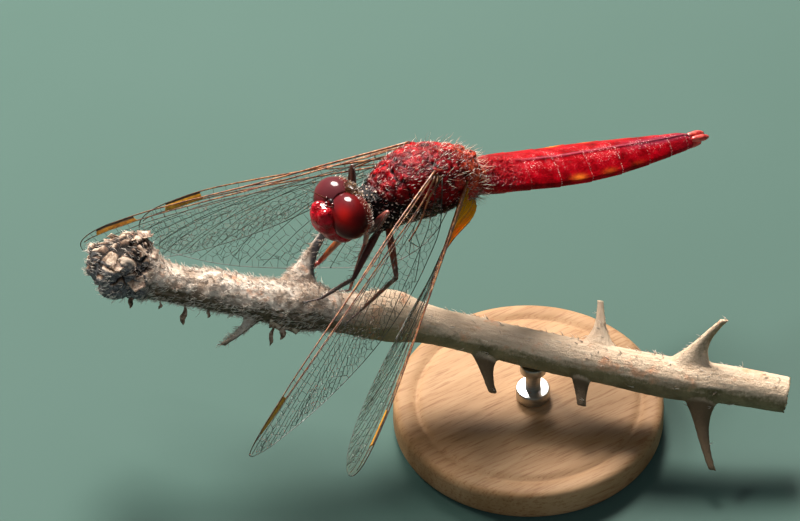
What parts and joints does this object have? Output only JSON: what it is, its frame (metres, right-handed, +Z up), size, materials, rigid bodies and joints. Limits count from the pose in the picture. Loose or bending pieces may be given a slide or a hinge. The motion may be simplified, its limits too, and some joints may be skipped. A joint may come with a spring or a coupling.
{
  "type": "dragonfly model on a display stand",
  "caption": "Life-size model of a red male dragonfly gripping a short length of thorny cane, held by a rod on a round wooden base.",
  "frame": {"origin": "middle of the underside of the round base, at floor level", "axes": "+Z up; +X runs back along the dragonfly's body towards its tail, so the head faces -X; the dragonfly's left side is at -Y"},
  "size_m": [0.0569, 0.044, 0.0291],
  "materials": {
    "compound_eye": "polished, wine red",
    "face_cuticle": "satin, cherry red",
    "thorax_cuticle": "dark red under fine pale hair",
    "abdomen_cuticle": "satin, scarlet",
    "leg_cuticle": "satin, dark red-brown",
    "wing_membrane": "clear film with dark veins",
    "cane_bark": "weathered, fuzzy bark",
    "turned_beech": "turned, satin varnish",
    "brushed_rod": "brushed"
  },
  "bodies": {
    "root": {"eye_left": "compound_eye", "eye_right": "compound_eye", "face_frons": "face_cuticle", "face_clypeus": "face_cuticle", "mouth": "face_cuticle", "head_capsule": "face_cuticle", "antenna_left": "leg_cuticle", "antenna_right": "leg_cuticle", "neck": "thorax_cuticle", "thorax": "thorax_cuticle", "abdomen_1": "abdomen_cuticle", "abdomen_2": "abdomen_cuticle", "abdomen_3": "abdomen_cuticle", "abdomen_4": "abdomen_cuticle", "abdomen_5": "abdomen_cuticle", "abdomen_6": "abdomen_cuticle", "abdomen_7": "abdomen_cuticle", "abdomen_8": "abdomen_cuticle", "abdomen_9": "abdomen_cuticle", "abdomen_10": "abdomen_cuticle", "cercus_left": "abdomen_cuticle", "cercus_right": "abdomen_cuticle", "lower_appendage": "abdomen_cuticle", "wing_fore_left": "wing_membrane", "wing_fore_right": "wing_membrane", "wing_hind_left": "wing_membrane", "wing_hind_right": "wing_membrane", "leg_fore_left_femur": "leg_cuticle", "leg_fore_left_tibia": "leg_cuticle", "leg_fore_left_tarsus": "leg_cuticle", "leg_fore_right_femur": "leg_cuticle", "leg_fore_right_tibia": "leg_cuticle", "leg_fore_right_tarsus": "leg_cuticle", "leg_mid_left_femur": "leg_cuticle", "leg_mid_left_tibia": "leg_cuticle", "leg_mid_left_tarsus": "leg_cuticle", "leg_mid_right_femur": "leg_cuticle", "leg_mid_right_tibia": "leg_cuticle", "leg_mid_right_tarsus": "leg_cuticle", "leg_hind_left_femur": "leg_cuticle", "leg_hind_left_tibia": "leg_cuticle", "leg_hind_left_tarsus": "leg_cuticle", "leg_hind_right_femur": "leg_cuticle", "leg_hind_right_tibia": "leg_cuticle", "leg_hind_right_tarsus": "leg_cuticle", "perch_cane": "cane_bark", "stand_base": "turned_beech", "stand_rod": "brushed_rod"}
  },
  "joints": []
}
